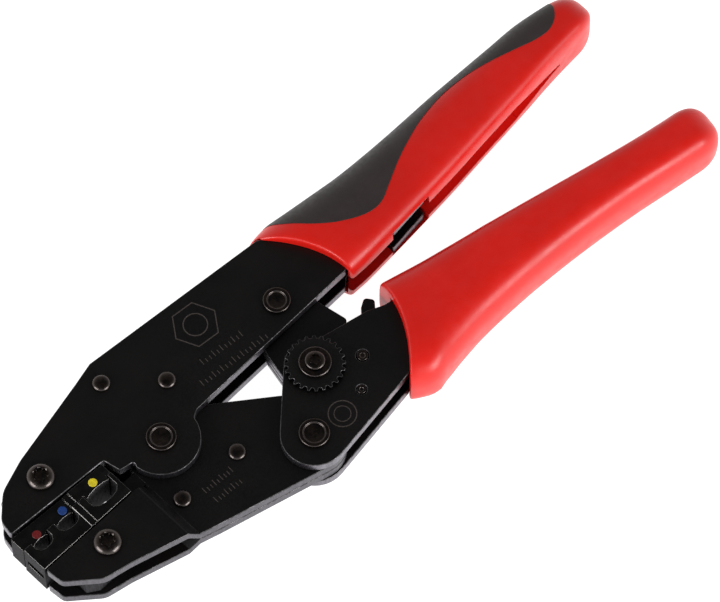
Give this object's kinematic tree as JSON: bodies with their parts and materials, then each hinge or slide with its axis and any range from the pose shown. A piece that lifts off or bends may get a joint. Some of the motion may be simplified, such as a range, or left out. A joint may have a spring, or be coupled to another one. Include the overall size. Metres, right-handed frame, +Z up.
{
  "type": "ratcheting crimping tool",
  "caption": "Ratcheting hand crimping tool for insulated cable terminals, with stepped dies, a toggle link, a toothed adjusting wheel and red moulded grips.",
  "frame": {"origin": "middle of the tool's bounding box in plan, on the surface that it lies on", "axes": "+X runs along the tool from the jaws to the handle ends, +Y towards the fixed handle, +Z up out of the front plates"},
  "size_m": [0.2156, 0.0706, 0.0209],
  "materials": {
    "black_oxide_steel": "satin black oxide on sheared plate",
    "die_steel": "smooth oiled black oxide",
    "dark_pin_steel": "dark polished steel",
    "spring_steel": "bright drawn wire",
    "red_plastic": "smooth moulded red, low gloss",
    "soft_grey_inlay": "matt soft moulding"
  },
  "bodies": {
    "frame": {"frame_plate_front": "black_oxide_steel", "frame_plate_back": "black_oxide_steel", "frame_rivet_1": "dark_pin_steel", "frame_rivet_2": "dark_pin_steel", "frame_tang_rivet": "dark_pin_steel", "main_pivot_pin": "dark_pin_steel", "link_pivot_pin": "dark_pin_steel", "fixed_die": "die_steel", "fixed_die_screw": "dark_pin_steel", "fixed_grip": "red_plastic", "fixed_grip_inlay": "soft_grey_inlay", "return_spring": "spring_steel"},
    "moving_jaw": {"jaw_plate_front": "black_oxide_steel", "jaw_plate_back": "black_oxide_steel", "jaw_rivet_1": "dark_pin_steel", "jaw_rivet_2": "dark_pin_steel", "moving_die": "die_steel", "moving_die_screw": "dark_pin_steel"},
    "moving_handle": {"handle_plate_front": "black_oxide_steel", "handle_plate_back": "black_oxide_steel", "handle_pivot_pin": "dark_pin_steel", "handle_tang_rivet": "dark_pin_steel", "moving_grip": "red_plastic", "pawl_pin": "dark_pin_steel", "pawl_spring_pin": "dark_pin_steel", "pawl_spring": "spring_steel"},
    "toggle_link": {"link_plate_front": "black_oxide_steel", "link_plate_middle": "black_oxide_steel", "link_plate_back": "black_oxide_steel"},
    "pawl_arm": {"ratchet_pawl": "dark_pin_steel"},
    "adjuster": {"adjusting_wheel": "black_oxide_steel", "eccentric_pin": "dark_pin_steel", "adjuster_screw": "dark_pin_steel"}
  },
  "joints": [
    {"name": "jaw_pivot", "type": "hinge", "parent": "frame", "child": "moving_jaw", "pos_m": [-0.06119, 0.00699, 0.0102], "axis": [0, 0, 1], "range_deg": [0, 15.1]},
    {"name": "handle_swing", "type": "hinge", "parent": "moving_jaw", "child": "moving_handle", "pos_m": [-0.03259, -0.02001, 0.0102], "axis": [0, 0, -1], "range_deg": [0, 44.65]},
    {"name": "link_pivot", "type": "hinge", "parent": "moving_handle", "child": "toggle_link", "pos_m": [-0.01879, -0.00641, 0.0102], "axis": [0, 0, 1], "range_deg": [0, 59.9], "deforming": ["return_spring"]},
    {"name": "pawl_pivot", "type": "hinge", "parent": "moving_handle", "child": "pawl_arm", "pos_m": [-0.00799, -0.01291, 0.0102], "axis": [0, 0, 1], "range_deg": [-6, 0], "stiffness_Nm_per_rad": 0.02, "springref_deg": 11.46, "deforming": ["pawl_spring"]},
    {"name": "adjuster_turn", "type": "hinge", "parent": "moving_handle", "child": "adjuster", "pos_m": [-0.01879, -0.00641, 0.0102], "axis": [0, 0, 1], "range_deg": [-90, 90]}
  ],
  "couplings": [
    {"joint": "jaw_pivot", "follows": "handle_swing", "ratio": 0.33595},
    {"joint": "link_pivot", "follows": "handle_swing", "ratio": 1.338}
  ]
}
